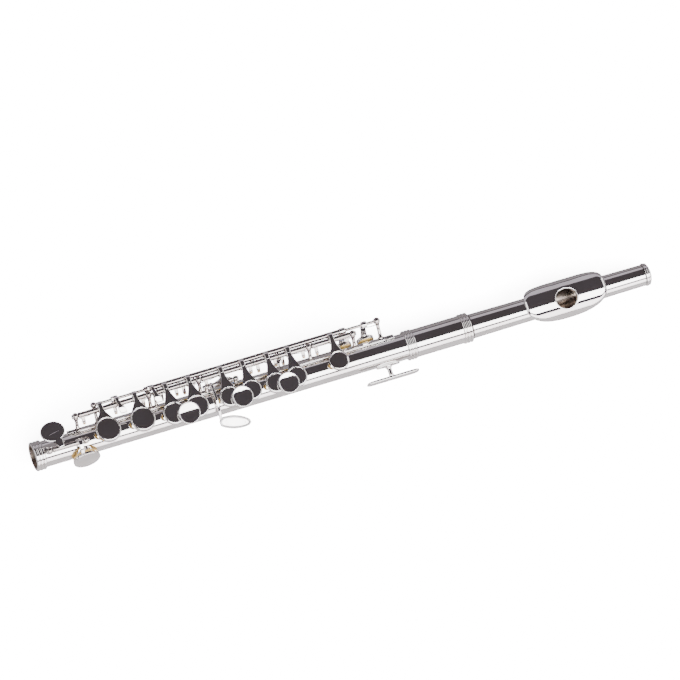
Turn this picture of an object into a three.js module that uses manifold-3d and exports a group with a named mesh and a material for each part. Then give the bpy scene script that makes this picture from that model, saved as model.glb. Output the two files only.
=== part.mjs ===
// A silver-plated metal piccolo: body joint with its keywork, and a head joint that slides and turns.
// Millimetres. +X runs from the foot end to the crown along the tube's axis, +Z is the side of the
// keys and +Y the player's side, where the rods are. The origin is the centre of the foot end.
import * as THREE from 'three';
import { mergeVertices } from 'three/addons/utils/BufferGeometryUtils.js';
import Module from 'manifold-3d';

const wasm = await Module();
wasm.setup();

// Tubes
const TUBE_R = 6.5;
const BORE_R = 5.5;
const TUBE_END = 200;
const BARREL_START = 191.7;
const BARREL_END = 225.4;
const BARREL_RING = 4.7;
const BARREL_R = 6.95;
const BEAD_R = 7.45;
const SOCKET_R = 6.3;
const FOOT_RING_LENGTH = 5;
const HEAD_START = 226.0;
const HEAD_END = 316;
const HEAD_R_START = 6.12;
const HEAD_R_END = 5.32;
const HEAD_WALL = 0.6;
const TOTAL_LENGTH = 320;

// Keywork: rods run along X at these places in the YZ plane
const STACK_AXIS = { y: 11.3, z: 9.0 };
const TRILL_AXIS = { y: 14.4, z: 7.6 };
const DS_AXIS = { y: -1.5, z: 9.5 };
const GS_AXIS = { y: 7.0, z: 7.7 };
const THUMB_AXIS = { y: 8.4, z: -6.6 };
const HINGE_R = 1.3;
const HINGE_BORE = 0.9;
const STEEL_R = 0.65;
const TRILL_ROD_R = 0.75;
const TRILL_BORE = 1.0;
const BALL_R = 1.75;
const NECK_R = 1.0;
const RIB_ANGLE = THREE.MathUtils.radToDeg(Math.atan2(STACK_AXIS.y, STACK_AXIS.z));
const RIB_TOP = 7.5;
const RIB_START = 22.6;
const RIB_END = 183.5;
const RIB_WIDTH = 3.2;

// Cups and pads, heights measured outwards from the chimney's rim
const RIM = 7.5;
const PAD_GAP = 0.08;
const PAD_TOP = 1.6;
const CUP_TOP = 2.75;
const SKIRT = 0.6;
const TOUCH_BASE = 3.5;
const CHIMNEY_WALL = 0.55;
const CHIMNEY_INSET = 2.3;
const OPEN_ANGLE = 9;
const THUMB_OPEN_ANGLE = 8;
const FRONT_HOLES = -10;
const BACK_HOLES = 97;

const FINE = 24;
const ROUND = 14;
const SMALL = 8;
const CHIMNEY_SIDES = 12;

const silver = { color: 0xd9d6d4, roughness: 0.12, metalness: 1 };
const steel = { color: 0x8f9298, roughness: 0.3, metalness: 1 };
const skin = { color: 0xd6a95c, roughness: 0.6, metalness: 0 };
const cork = { color: 0xa87b4d, roughness: 0.9, metalness: 0 };

const degrees = THREE.MathUtils.degToRad;

// ---- solids --------------------------------------------------------------------------------------

function solidOf(geometry) {
  const bare = new THREE.BufferGeometry();
  bare.setAttribute('position', geometry.getAttribute('position'));
  if (geometry.index) bare.setIndex(geometry.index);
  const merged = mergeVertices(bare, 1e-4);
  const corners = merged.index.array;
  const triangles = [];
  for (let i = 0; i < corners.length; i += 3) {
    const [a, b, c] = [corners[i], corners[i + 1], corners[i + 2]];
    if (a !== b && b !== c && c !== a) triangles.push(a, b, c);
  }
  return new wasm.Manifold(new wasm.Mesh({
    numProp: 3,
    vertProperties: new Float32Array(merged.getAttribute('position').array),
    triVerts: new Uint32Array(triangles),
  }));
}

function geometryOf(solid) {
  const mesh = solid.getMesh();
  const geometry = new THREE.BufferGeometry();
  geometry.setAttribute('position', new THREE.BufferAttribute(new Float32Array(mesh.vertProperties), 3));
  geometry.setIndex(new THREE.BufferAttribute(new Uint32Array(mesh.triVerts), 1));
  return geometry;
}

function joined(...solids) {
  return solids.reduce((whole, next) => whole.add(next));
}

// ---- shapes along X ------------------------------------------------------------------------------

function alongX(geometry) {
  return geometry.rotateZ(-Math.PI / 2);
}

function rod(x0, x1, radius, axis = { y: 0, z: 0 }, sides = SMALL) {
  const geometry = alongX(new THREE.CylinderGeometry(radius, radius, x1 - x0, sides));
  return solidOf(geometry.translate((x0 + x1) / 2, axis.y, axis.z));
}

// A turned shape about the tube's axis from [x, radius] points
function turned(points, sides = FINE) {
  const profile = points.map(([x, r]) => new THREE.Vector2(r, x));
  const closed = profile[0].x === 0 && profile.at(-1).x === 0;
  if (!closed) profile.push(profile[0].clone());
  return solidOf(alongX(new THREE.LatheGeometry(profile, sides)));
}

// Half-round beads side by side as [x, radius] points
function beads(x0, x1, count, low, high) {
  const pitch = (x1 - x0) / count;
  const points = [];
  for (let i = 0; i < count; i += 1) {
    for (const part of [0, 0.5]) {
      points.push([x0 + (i + part) * pitch, low + (high - low) * Math.sin(part * Math.PI)]);
    }
  }
  points.push([x1, low]);
  return points;
}

// ---- shapes that stand on the tube ----------------------------------------------------------------

function outward(phi) {
  return new THREE.Vector3(0, Math.sin(degrees(phi)), Math.cos(degrees(phi)));
}

// Moves a shape made about local +Y to x on the tube, standing at the angle phi from +Z towards +Y
function standing(geometry, x, phi, height = 0, side = 0) {
  const up = outward(phi);
  const along = new THREE.Vector3(1, 0, 0);
  const across = new THREE.Vector3().crossVectors(along, up);
  const place = new THREE.Matrix4().makeBasis(along, up, across);
  const base = up.clone().multiplyScalar(height).addScaledVector(across, side);
  place.setPosition(x, base.y, base.z);
  return solidOf(geometry.applyMatrix4(place));
}

function column(x, phi, low, high, radius, sides = SMALL, side = 0) {
  const geometry = new THREE.CylinderGeometry(radius, radius, high - low, sides);
  return standing(geometry.translate(0, (low + high) / 2, 0), x, phi, 0, side);
}

function revolved(points, x, phi, height, sides = ROUND, side = 0) {
  const profile = points.map(([r, h]) => new THREE.Vector2(r, h));
  return standing(new THREE.LatheGeometry(profile, sides), x, phi, height, side);
}

// ---- flat pieces cut from a side view and a plan --------------------------------------------------

// A solid with the given outline in the YZ plane, from x0 to x1
function sideCut(points, x0, x1) {
  const shape = new THREE.Shape(points.map(([y, z]) => new THREE.Vector2(y, z)));
  const geometry = new THREE.ExtrudeGeometry(shape, { depth: x1 - x0, bevelEnabled: false });
  const place = new THREE.Matrix4().makeBasis(
    new THREE.Vector3(0, 1, 0), new THREE.Vector3(0, 0, 1), new THREE.Vector3(1, 0, 0));
  place.setPosition(x0, 0, 0);
  return solidOf(geometry.applyMatrix4(place));
}

// A solid with the given outline in the XY plane, from z0 to z1
function planCut(points, z0, z1) {
  const shape = new THREE.Shape(points.map(([x, y]) => new THREE.Vector2(x, y)));
  const geometry = new THREE.ExtrudeGeometry(shape, { depth: z1 - z0, bevelEnabled: false });
  return solidOf(geometry.translate(0, 0, z0));
}

// A bar of even thickness along a curve through [y, z] points
function bar(points, thickness, x0, x1, steps = 6) {
  const curve = new THREE.CatmullRomCurve3(points.map(([y, z]) => new THREE.Vector3(y, z, 0)));
  const upper = [];
  const lower = [];
  for (let i = 0; i <= steps; i += 1) {
    const point = curve.getPoint(i / steps);
    const slope = curve.getTangent(i / steps);
    upper.push([point.x - slope.y * thickness / 2, point.y + slope.x * thickness / 2]);
    lower.unshift([point.x + slope.y * thickness / 2, point.y - slope.x * thickness / 2]);
  }
  return sideCut(anticlockwise([...upper, ...lower]), x0, x1);
}

function anticlockwise(points) {
  const area = points.reduce((sum, [x, y], i) => {
    const [nextX, nextY] = points[(i + 1) % points.length];
    return sum + x * nextY - nextX * y;
  }, 0);
  return area > 0 ? points : points.slice().reverse();
}

// ---- pieces ---------------------------------------------------------------------------------------

const piccolo = new THREE.Group();

function addMesh(name, solid, finish, parent = piccolo) {
  const mesh = new THREE.Mesh(geometryOf(solid), new THREE.MeshStandardMaterial(finish));
  mesh.name = name;
  parent.add(mesh);
}

// A group turned about a rod, holding pieces that are written down with their pad on the chimney
function turnedAbout(axis, angle) {
  const pivot = new THREE.Group();
  pivot.position.set(0, axis.y, axis.z);
  pivot.rotation.x = degrees(angle);
  const inner = new THREE.Group();
  inner.position.set(0, -axis.y, -axis.z);
  pivot.add(inner);
  piccolo.add(pivot);
  return inner;
}

function cupSolid(x, phi, radius, rim = RIM, domed = false) {
  const top = domed
    ? [[radius, 1.9], [radius - 0.6, 2.5], [radius * 0.6, CUP_TOP], [0, CUP_TOP + 0.15]]
    : [[radius, 2.2], [radius - 0.35, CUP_TOP], [radius - 0.9, CUP_TOP], [radius - 1.2, 2.45], [0, 2.35]];
  const points = [
    [0, PAD_TOP + 0.2], [radius - 0.5, PAD_TOP + 0.2], [radius - 0.5, SKIRT], [radius, SKIRT], ...top,
  ];
  return revolved(points, x, phi, rim);
}

function padSolid(x, phi, radius, rim = RIM) {
  return column(x, phi, rim + PAD_GAP, rim + PAD_TOP, radius - 0.65, ROUND);
}

// The room that a key leaves for its pad and the chimney under it
function padRoom(x, phi, radius, rim = RIM) {
  return column(x, phi, rim - 1.5, rim + PAD_TOP + 0.2, radius - 0.5, ROUND);
}

// The raised finger plate over two cups, with a dished top, and the stems under it
function touchSolid(x, side, radius, stems) {
  const points = [[0, 0], [radius - 0.8, 0], [radius, 0.7], [radius, 1.3], [radius - 0.6, 1.3], [0, 0.7]];
  const plate = revolved(points, x, FRONT_HOLES, RIM + TOUCH_BASE, ROUND, side);
  const legTop = RIM + TOUCH_BASE + 0.3;
  const legs = stems.map((at) => column(at, FRONT_HOLES, RIM + 2.2, legTop, 1.2, SMALL, side / 2));
  return joined(plate, ...legs);
}

// The flared arm from the stack's rod down to a cup: the side view times the plan
function stackArm(x, cupY, cupRadius) {
  const { y, z } = STACK_AXIS;
  const edge = cupY + cupRadius;
  const side = sideCut(anticlockwise([
    [y + 2.3, z + 1.9], [y + 1.5, z + 2.8], [y - 0.8, z + 3.1], [y - 3.2, z + 2.7], [edge - 1.2, z + 1.6],
    [edge - 1.4, z + 0.4], [y - 3.2, z + 1.3], [y - 1.2, z + 0.5], [y - 0.8, z - 0.9], [y + 0.8, z - 0.9],
  ]), x - cupRadius, x + cupRadius);
  const narrow = 1.2;
  const wide = cupRadius * 0.72;
  const flare = [0, 0.4, 0.75, 1].map((t) => [narrow + (wide - narrow) * t * t, y - (y - edge + 1.4) * t]);
  const plan = planCut(anticlockwise([
    [x - narrow, y + 3],
    ...flare.map(([half, at]) => [x - half, at]),
    ...flare.slice().reverse().map(([half, at]) => [x + half, at]),
    [x + narrow, y + 3],
  ]), 0, 20);
  return side.intersect(plan);
}

const holes = [];

function chimneyRadius(cupRadius) {
  return cupRadius - CHIMNEY_INSET;
}

// A stack key that stands open: hinge tube, arms and cups, and what is added to them
function stackKey(name, x0, x1, cups, touch) {
  const solids = [rod(x0, x1, HINGE_R, STACK_AXIS, SMALL)];
  for (const cup of cups) {
    const centreY = outward(cup.phi).y * (RIM + 2);
    solids.push(stackArm(cup.x, centreY, cup.radius));
    solids.push(cupSolid(cup.x, cup.phi, cup.radius, RIM, cup.domed));
    holes.push({ x: cup.x, phi: cup.phi, radius: chimneyRadius(cup.radius), rim: RIM });
  }
  if (touch) solids.push(touchSolid(touch.x, touch.side, touch.radius, touch.stems));
  const rooms = cups.map((cup) => padRoom(cup.x, cup.phi, cup.radius));
  const bore = rod(x0 - 1, x1 + 1, HINGE_BORE, STACK_AXIS, SMALL);
  const key = joined(...solids).subtract(joined(bore, ...rooms));
  const group = turnedAbout(STACK_AXIS, -OPEN_ANGLE);
  addMesh(`${name}_key`, key, silver, group);
  cups.forEach((cup) => addMesh(cup.pad, padSolid(cup.x, cup.phi, cup.radius), skin, group));
}

function lowerStack() {
  stackKey('d', 26.1, 46.0, [{ pad: 'd_pad', x: 37.2, phi: 0, radius: 6.3 }]);
  stackKey('e', 46.3, 60.3, [{ pad: 'e_pad', x: 55.0, phi: 0, radius: 6.2 }]);
  stackKey('f', 66.2, 77.4, [{ pad: 'f_pad', x: 70.7, phi: FRONT_HOLES, radius: 5.7 }],
    { x: 77.1, side: 2.5, radius: 5.5, stems: [73.6] });
  stackKey('f_sharp', 77.7, 85.9, [{ pad: 'f_sharp_pad', x: 82.6, phi: FRONT_HOLES, radius: 5.7 }]);
}

function upperStack() {
  stackKey('g', 89.3, 115.6, [
    { pad: 'g_lower_pad', x: 99.2, phi: FRONT_HOLES, radius: 5.1 },
    { pad: 'g_upper_pad', x: 110.4, phi: FRONT_HOLES, radius: 5.1 },
  ], { x: 104.6, side: 2.4, radius: 5.3, stems: [102, 107.4] });
  stackKey('a', 115.9, 128.3, [{ pad: 'a_pad', x: 123.0, phi: FRONT_HOLES, radius: 5.1 }],
    { x: 128.4, side: 2.4, radius: 5.3, stems: [125.6] });
  stackKey('b_flat', 128.6, 142.7, [{ pad: 'b_flat_pad', x: 133.8, phi: FRONT_HOLES, radius: 5.1 }]);
  stackKey('c', 146.1, 165.5, [{ pad: 'c_pad', x: 156.2, phi: 0, radius: 4.85, domed: true }]);
}

// A trill key: a cup on the back, closed at rest, and a small touch that reaches over the stack's rod
function trillKey(name, shaft, bore, touchX, cupX) {
  const { y, z } = TRILL_AXIS;
  const cupRadius = 4.5;
  const touchArm = bar([[y + 0.9, z + 0.6], [y - 0.4, z + 3.9], [y - 3.4, z + 4.6], [y - 7, z + 4]], 1,
    touchX - 1.1, touchX + 1.1);
  const touchPlate = bar([[y - 6.2, z + 4.1], [y - 8, z + 3.6], [y - 9.6, z + 2.7]], 1,
    touchX - 1.1, touchX + 2.3, 4);
  const cupArm = bar([[y + 0.5, z - 0.4], [y - 0.2, z - 3.6], [y - 2.6, z - 6.6], [y - 4.4, z - 9]], 1.2,
    cupX - 1.2, cupX + 1.2);
  const cup = cupSolid(cupX, BACK_HOLES, cupRadius, RIM, true);
  holes.push({ x: cupX, phi: BACK_HOLES, radius: chimneyRadius(cupRadius), rim: RIM });
  let key = joined(shaft, touchArm, touchPlate, cupArm, cup).subtract(padRoom(cupX, BACK_HOLES, cupRadius));
  if (bore) key = key.subtract(bore);
  addMesh(`${name}_key`, key, silver);
  addMesh(`${name}_pad`, padSolid(cupX, BACK_HOLES, cupRadius), skin);
}

function trillKeys() {
  trillKey('d_sharp_trill', rod(34.2, 181.4, TRILL_ROD_R, TRILL_AXIS), null, 45.6, 174.4);
  const sleeve = rod(61.0, 164.8, HINGE_R, TRILL_AXIS, SMALL);
  const sleeveBore = rod(60, 166, TRILL_BORE, TRILL_AXIS, SMALL);
  trillKey('d_trill', sleeve, sleeveBore, 64.0, 163.0);
}

// The little-finger key at the foot: a see-saw with its touch on one side and its cup on the other
function footKey() {
  const { y, z } = DS_AXIS;
  const cupX = 24.4;
  const cupPhi = -77;
  const cupRadius = 6.8;
  const rim = 7.05;
  const touchX = 11;
  const tube = rod(8.6, 23.7, HINGE_R, DS_AXIS, SMALL);
  const plate = new THREE.CylinderGeometry(1, 1, 1.1, ROUND).scale(6.1, 1, 5);
  const disc = standing(plate, touchX, 0, z + 0.75, -7);
  const neck = planCut(anticlockwise([
    [touchX + 0.4, y], [touchX - 0.8, y + 2.4], [touchX - 3.4, y + 4.4],
    [touchX + 4.2, y + 4.8], [touchX + 3.2, y + 2.4], [touchX + 3, y],
  ]), z + 0.2, z + 1.3);
  const arm = bar([
    [y, z + 0.9], [y - 4.2, z - 0.6], [y - 7.3, z - 4.4], [y - 8.2, z - 8.4], [y - 8.3, z - 11.4],
  ], 1.3, 21.1, 23.3);
  const cup = cupSolid(cupX, cupPhi, cupRadius, rim, true);
  holes.push({ x: cupX, phi: cupPhi, radius: chimneyRadius(cupRadius), rim });
  const room = padRoom(cupX, cupPhi, cupRadius, rim);
  const key = joined(tube, disc, neck, arm, cup).subtract(rod(8, 25, HINGE_BORE, DS_AXIS, SMALL).add(room));
  addMesh('d_sharp_key', key, silver);
  addMesh('d_sharp_pad', padSolid(cupX, cupPhi, cupRadius, rim), skin);
}

// The G sharp lever: a long arm over the tube to a teardrop touch, and a cup on the back
function leverKey() {
  const { y, z } = GS_AXIS;
  const leverX = 92.9;
  const cupX = 101;
  const cupRadius = 4.6;
  const tube = rod(92.0, 103.9, 1.2, GS_AXIS, SMALL);
  const lever = bar([
    [y, z + 0.7], [y - 3.5, z + 1.4], [y - 8.5, z + 1.3], [y - 13, z - 1.2], [y - 16.4, z - 4.4],
  ], 1.3, leverX - 0.8, leverX + 0.8);
  const touch = leverTouch(leverX, y - 17.2, z - 5);
  const cupArm = bar([[y + 0.4, z - 0.3], [y + 2.4, z - 3], [y + 3.6, z - 6], [y + 3.4, z - 9]], 1.2,
    cupX - 1.1, cupX + 1.1);
  const cup = cupSolid(cupX, BACK_HOLES, cupRadius, RIM, true);
  holes.push({ x: cupX, phi: BACK_HOLES, radius: chimneyRadius(cupRadius), rim: RIM });
  const room = padRoom(cupX, BACK_HOLES, cupRadius);
  const bore = rod(90, 105, HINGE_BORE, GS_AXIS, SMALL);
  const key = joined(tube, lever, touch, cupArm, cup).subtract(bore.add(room));
  addMesh('g_sharp_key', key, silver);
  addMesh('g_sharp_pad', padSolid(cupX, BACK_HOLES, cupRadius), skin);
}

// The lever's long touch: widest in the middle, turned away from the tube towards its tip, and tilted
function leverTouch(x, y, z) {
  const length = 14;
  const halves = [1.5, 2.2, 2.6, 2.65, 2.4, 1.9, 1.1];
  const back = halves.map((half, i) => [length * i / halves.length, half]);
  const front = back.slice().reverse().map(([along, half]) => [along, -half]);
  const outline = anticlockwise([...back, [length, 0], ...front]);
  const shape = new THREE.Shape(outline.map(([a, b]) => new THREE.Vector2(a, b)));
  const geometry = new THREE.ExtrudeGeometry(shape, { depth: 1.1, bevelEnabled: false });
  geometry.rotateZ(degrees(-16)).rotateX(degrees(30));
  return solidOf(geometry.translate(x - 0.8, y, z));
}

// The two thumb keys on the underside share one rod
function thumbKeys() {
  const { y, z } = THUMB_AXIS;
  const cupX = 150;
  const cupPhi = 176;
  const cupRadius = 5.2;
  const arm = bar([[y, z - 0.8], [y - 2.5, z - 2.9], [y - 5, z - 3.4]], 1.2, cupX - 1.4, cupX + 1.4);
  const plate = planCut(anticlockwise([
    [cupX - 12, -3], [cupX - 12, 3.5], [cupX - 9, 5], [cupX - 3, 4.2], [cupX - 3, -4], [cupX - 9, -4.5],
  ]), z - 3.9, z - 2.9);
  const cup = cupSolid(cupX, cupPhi, cupRadius, RIM, true);
  holes.push({ x: cupX, phi: cupPhi, radius: chimneyRadius(cupRadius), rim: RIM });
  const bore = rod(120, 165, HINGE_BORE, THUMB_AXIS, SMALL);
  const room = padRoom(cupX, cupPhi, cupRadius);
  const tube = rod(146.6, 158.2, HINGE_R, THUMB_AXIS, SMALL);
  const key = joined(tube, arm, plate, cup).subtract(bore.add(room));
  const group = turnedAbout(THUMB_AXIS, THUMB_OPEN_ANGLE);
  addMesh('thumb_b_key', key, silver, group);
  addMesh('thumb_b_pad', padSolid(cupX, cupPhi, cupRadius), skin, group);

  const leverArm = bar([[y, z - 0.8], [y - 2.8, z - 3.2], [y - 6, z - 4]], 1.2, 131.5, 134);
  const leverPlate = planCut(anticlockwise([
    [127, -2.5], [127, 3], [129, 4.6], [136.4, 4.6], [136.4, -3.5], [129, -3.8],
  ]), z - 4.6, z - 3.6);
  const tail = bar([[y + 0.7, z + 0.2], [y + 2.6, z + 3], [y + 3, z + 6], [y + 3, z + 10]], 1.2,
    129.5, 131.6);
  const leverTube = rod(128.9, 146.3, HINGE_R, THUMB_AXIS, SMALL);
  const lever = joined(leverTube, leverArm, leverPlate, tail).subtract(bore);
  addMesh('thumb_b_flat_lever', lever, silver);
}

// ---- posts, steels, rib ---------------------------------------------------------------------------

// A post: a ball on a waisted neck, from a base on the rib or on the tube to a rod's axis
function post(name, x, axis, base, hole, ball = BALL_R) {
  const length = Math.hypot(axis.y - base.y, axis.z - base.z);
  const phi = THREE.MathUtils.radToDeg(Math.atan2(axis.y - base.y, axis.z - base.z));
  const foot = Math.min(1.5, ball + 0.1);
  const neck = [[0, 0], [foot, 0], [foot, 0.4], [NECK_R, 1], [0.9, length - ball], [0, length - ball * 0.7]];
  const place = new THREE.Matrix4();
  const up = outward(phi);
  const along = new THREE.Vector3(1, 0, 0);
  place.makeBasis(along, up, new THREE.Vector3().crossVectors(along, up)).setPosition(x, base.y, base.z);
  const stalk = new THREE.LatheGeometry(neck.map(([r, h]) => new THREE.Vector2(r, h)), SMALL);
  const head = new THREE.SphereGeometry(ball, SMALL, 6).translate(0, length, 0);
  const solid = solidOf(stalk.applyMatrix4(place)).add(solidOf(head.applyMatrix4(place)));
  addMesh(name, solid.subtract(rod(x - 3, x + 3, hole, axis, SMALL)), silver);
}

function ribPoint(side) {
  const up = outward(RIB_ANGLE);
  const height = RIB_TOP + 0.12 + Math.abs(side) * 0.35;
  return { y: up.y * height + up.z * side, z: up.z * height - up.y * side };
}

function tubePoint(phi, height) {
  const up = outward(phi);
  return { y: up.y * height, z: up.z * height };
}

function posts() {
  const stackPosts = {
    lower_foot_post: 24.4, lower_middle_post: 61.9,
    centre_post: 87.6, upper_middle_post: 144.4, upper_head_post: 167.2,
  };
  for (const [name, x] of Object.entries(stackPosts)) post(name, x, STACK_AXIS, ribPoint(0), 0.8);
  post('lower_inner_post', 64.8, STACK_AXIS, ribPoint(0), 0.8, 1.1);
  post('trill_foot_post', 34.9, TRILL_AXIS, ribPoint(0.9), 0.9, 1.55);
  post('trill_head_post', 181.0, TRILL_AXIS, ribPoint(0.9), 0.9, 1.75);
  post('d_sharp_foot_post', 6.9, DS_AXIS, tubePoint(-9, TUBE_R + 0.35), 0.8, 1.6);
  post('d_sharp_head_post', 25.4, DS_AXIS, tubePoint(-9, TUBE_R + 0.35), 0.8, 1.6);
  post('g_sharp_foot_post', 90.5, GS_AXIS, ribPoint(-1.1), 0.8, 1.3);
  post('g_sharp_head_post', 105.4, GS_AXIS, ribPoint(-0.9), 0.8, 1.4);
  post('thumb_foot_post', 127.2, THUMB_AXIS, tubePoint(128, TUBE_R + 0.35), 0.8, 1.6);
  post('thumb_head_post', 159.9, THUMB_AXIS, tubePoint(128, TUBE_R + 0.35), 0.8, 1.6);
}

function steels() {
  addMesh('lower_steel', rod(23.0, 87.3, STEEL_R, STACK_AXIS), steel);
  addMesh('upper_steel', rod(87.9, 168.6, STEEL_R, STACK_AXIS), steel);
  addMesh('d_sharp_steel', rod(5.7, 26.7, STEEL_R, DS_AXIS), steel);
  addMesh('g_sharp_steel', rod(89.0, 106.4, STEEL_R, GS_AXIS), steel);
  addMesh('thumb_steel', rod(126.0, 161.1, STEEL_R, THUMB_AXIS), steel);
}

function rib() {
  const thickness = RIB_TOP - TUBE_R - 0.15;
  const shape = new THREE.BoxGeometry(RIB_END - RIB_START, thickness, RIB_WIDTH);
  const middle = (RIB_START + RIB_END) / 2;
  addMesh('key_rib', standing(shape, middle, RIB_ANGLE, RIB_TOP - thickness / 2), silver);
}

// ---- body, finger rest ----------------------------------------------------------------------------

function bodyTube() {
  let tube = rod(0, TUBE_END, TUBE_R, undefined, FINE);
  for (const hole of holes) {
    tube = tube.add(column(hole.x, hole.phi, 4.5, hole.rim, hole.radius, CHIMNEY_SIDES));
  }
  tube = tube.subtract(rod(-1, TUBE_END + 1, BORE_R, undefined, FINE));
  for (const hole of holes) {
    const inner = hole.radius - CHIMNEY_WALL;
    tube = tube.subtract(column(hole.x, hole.phi, 2, hole.rim + 1, inner, CHIMNEY_SIDES));
  }
  addMesh('body_tube', tube, silver);
}

function footRing() {
  const points = [...beads(0, FOOT_RING_LENGTH, 3, TUBE_R + 0.35, BEAD_R - 0.1)];
  addMesh('foot_ring', turned([...points, [FOOT_RING_LENGTH, TUBE_R + 0.12], [0, TUBE_R + 0.12]]), silver);
}

function barrel() {
  const outside = [
    ...beads(BARREL_START, BARREL_START + BARREL_RING, 3, BARREL_R, BEAD_R),
    ...beads(BARREL_END - BARREL_RING, BARREL_END, 3, BARREL_R, BEAD_R),
  ];
  const inside = [
    [BARREL_END, SOCKET_R], [TUBE_END + 0.4, SOCKET_R],
    [TUBE_END + 0.4, TUBE_R + 0.12], [BARREL_START, TUBE_R + 0.12],
  ];
  addMesh('barrel', turned([...outside, ...inside]), silver);
}

function fingerRest() {
  const x = 180.8;
  const saddle = new THREE.CylinderGeometry(1, 1, 0.9, ROUND).scale(6, 1, 2.6);
  const seat = rod(x - 10, x + 10, TUBE_R + 0.15, undefined, FINE);
  const base = standing(saddle, x, -90, TUBE_R + 0.7).subtract(seat);
  const stem = column(x, -90, TUBE_R + 0.6, 13, 1.2, SMALL);
  const length = 27;
  const width = 6;
  const end = width / 2;
  const outline = [];
  for (let i = 0; i <= 6; i += 1) {
    const turn = -Math.PI / 2 + Math.PI * i / 6;
    outline.push([length / 2 - end + end * Math.cos(turn), end * Math.sin(turn)]);
  }
  const whole = [...outline, ...outline.map(([a, b]) => [-a, -b])];
  const shape = new THREE.Shape(whole.map(([a, b]) => new THREE.Vector2(a, b)));
  const plate = new THREE.ExtrudeGeometry(shape, { depth: 1.1, bevelEnabled: false }).rotateX(-Math.PI / 2);
  addMesh('finger_rest', joined(base, stem, standing(plate, x + 0.4, -90, 12.7)), silver);
}

// ---- head joint -----------------------------------------------------------------------------------

const EMBOUCHURE_X = 274.4;
const ROLL = -13;
const LIP_START = 254;
const LIP_END = 295.2;
const LIP_TOP = 8.1;
const LIP_ARC_R = 11;
const LIP_THICKNESS = 0.9;
const LIP_HALF_WIDTH = 9.6;
const LIP_BACK_SQUARENESS = 5;
const LIP_FRONT_SQUARENESS = 2.4;
const HOLE_LONG = 5.4;
const HOLE_SHORT = 4.9;
const RISER_WALL = 0.7;

function headRadius(x) {
  return HEAD_R_START + (HEAD_R_END - HEAD_R_START) * (x - HEAD_START) / (HEAD_END - HEAD_START);
}

function oval(low, high, along, across) {
  const geometry = new THREE.CylinderGeometry(1, 1, high - low, ROUND).scale(along, 1, across);
  return standing(geometry.translate(0, (low + high) / 2, 0), EMBOUCHURE_X, ROLL);
}

function headTube() {
  const tube = turned([
    [HEAD_START, HEAD_R_START], [HEAD_END, HEAD_R_END], [HEAD_END, HEAD_R_END - HEAD_WALL],
    [HEAD_START, HEAD_R_START - HEAD_WALL],
  ]);
  addMesh('head_tube', tube.subtract(oval(2, 9, HOLE_LONG, HOLE_SHORT)), silver);
}

function riser() {
  const ring = oval(0, 9, HOLE_LONG + RISER_WALL, HOLE_SHORT + RISER_WALL);
  const opening = oval(-1, 10, HOLE_LONG, HOLE_SHORT);
  const arcCentre = tubePoint(ROLL, LIP_TOP - LIP_ARC_R);
  const underPlate = rod(260, 290, LIP_ARC_R - LIP_THICKNESS - 0.15, arcCentre, FINE);
  const around = rod(260, 290, headRadius(EMBOUCHURE_X) + 0.2, undefined, FINE);
  addMesh('riser', ring.subtract(opening).intersect(underPlate).subtract(around), silver);
}

function lipPlate() {
  const centre = LIP_TOP - LIP_ARC_R;
  const reach = Math.asin(LIP_HALF_WIDTH / LIP_ARC_R);
  const outer = [];
  const inner = [];
  for (let i = 0; i <= 12; i += 1) {
    const turn = -reach + 2 * reach * i / 12;
    outer.push([LIP_ARC_R * Math.sin(turn), centre + LIP_ARC_R * Math.cos(turn)]);
    const under = LIP_ARC_R - LIP_THICKNESS;
    inner.unshift([under * Math.sin(turn), centre + under * Math.cos(turn)]);
  }
  const shell = sideCut(anticlockwise([...outer, ...inner]), LIP_START, LIP_END);
  const plan = [];
  const halfLength = (LIP_END - LIP_START) / 2;
  for (let i = 0; i < 24; i += 1) {
    const turn = 2 * Math.PI * i / 24;
    const c = Math.cos(turn);
    const s = Math.sin(turn);
    const power = 2 / (s > 0 ? LIP_BACK_SQUARENESS : LIP_FRONT_SQUARENESS);
    plan.push([
      (LIP_START + LIP_END) / 2 + halfLength * Math.sign(c) * Math.abs(c) ** power,
      (LIP_HALF_WIDTH + 0.3) * Math.sign(s) * Math.abs(s) ** power,
    ]);
  }
  const flat = shell.intersect(planCut(anticlockwise(plan), -10, SMALL));
  const rolled = solidOf(geometryOf(flat).rotateX(degrees(-ROLL)));
  addMesh('lip_plate', rolled.subtract(oval(2, 12, HOLE_LONG, HOLE_SHORT)), silver);
}

function tenonSleeve() {
  addMesh('tenon_sleeve', turned([
    [202, 6.14], [HEAD_START - 0.8, 6.14], [HEAD_START - 0.8, 5.36], [236, 5.3], [236, 4.9],
    [HEAD_START - 1.9, 4.9], [HEAD_START - 2.9, 5.5], [202, 5.5],
  ]), silver);
}

function crownAndStopper() {
  addMesh('crown', turned([
    [311, 1.35], [311, 4.4], [HEAD_END + 0.3, 4.4], [HEAD_END + 0.3, 5.2], [HEAD_END + 0.8, 5.8],
    [HEAD_END + 1.6, 5.8], [HEAD_END + 2.2, 5.2], [HEAD_END + 3, 4.4],
    [TOTAL_LENGTH - 0.3, 2.6], [TOTAL_LENGTH, 0], [319, 0], [319, 1.35],
  ]), silver);
  addMesh('stopper_rod', turned([
    [281.4, 0], [281.4, 4.5], [282.3, 4.5], [282.3, 1.15], [317.2, 1.15], [317.2, 0],
  ], ROUND), silver);
  addMesh('stopper_cork', turned([
    [282.5, 1.4], [282.5, 4.6], [290.5, 4.6], [290.5, 1.4],
  ], ROUND), cork);
}

lowerStack();
upperStack();
trillKeys();
footKey();
leverKey();
thumbKeys();
posts();
steels();
rib();
bodyTube();
footRing();
barrel();
fingerRest();
tenonSleeve();
headTube();
riser();
lipPlate();
crownAndStopper();

export default piccolo;
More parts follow.
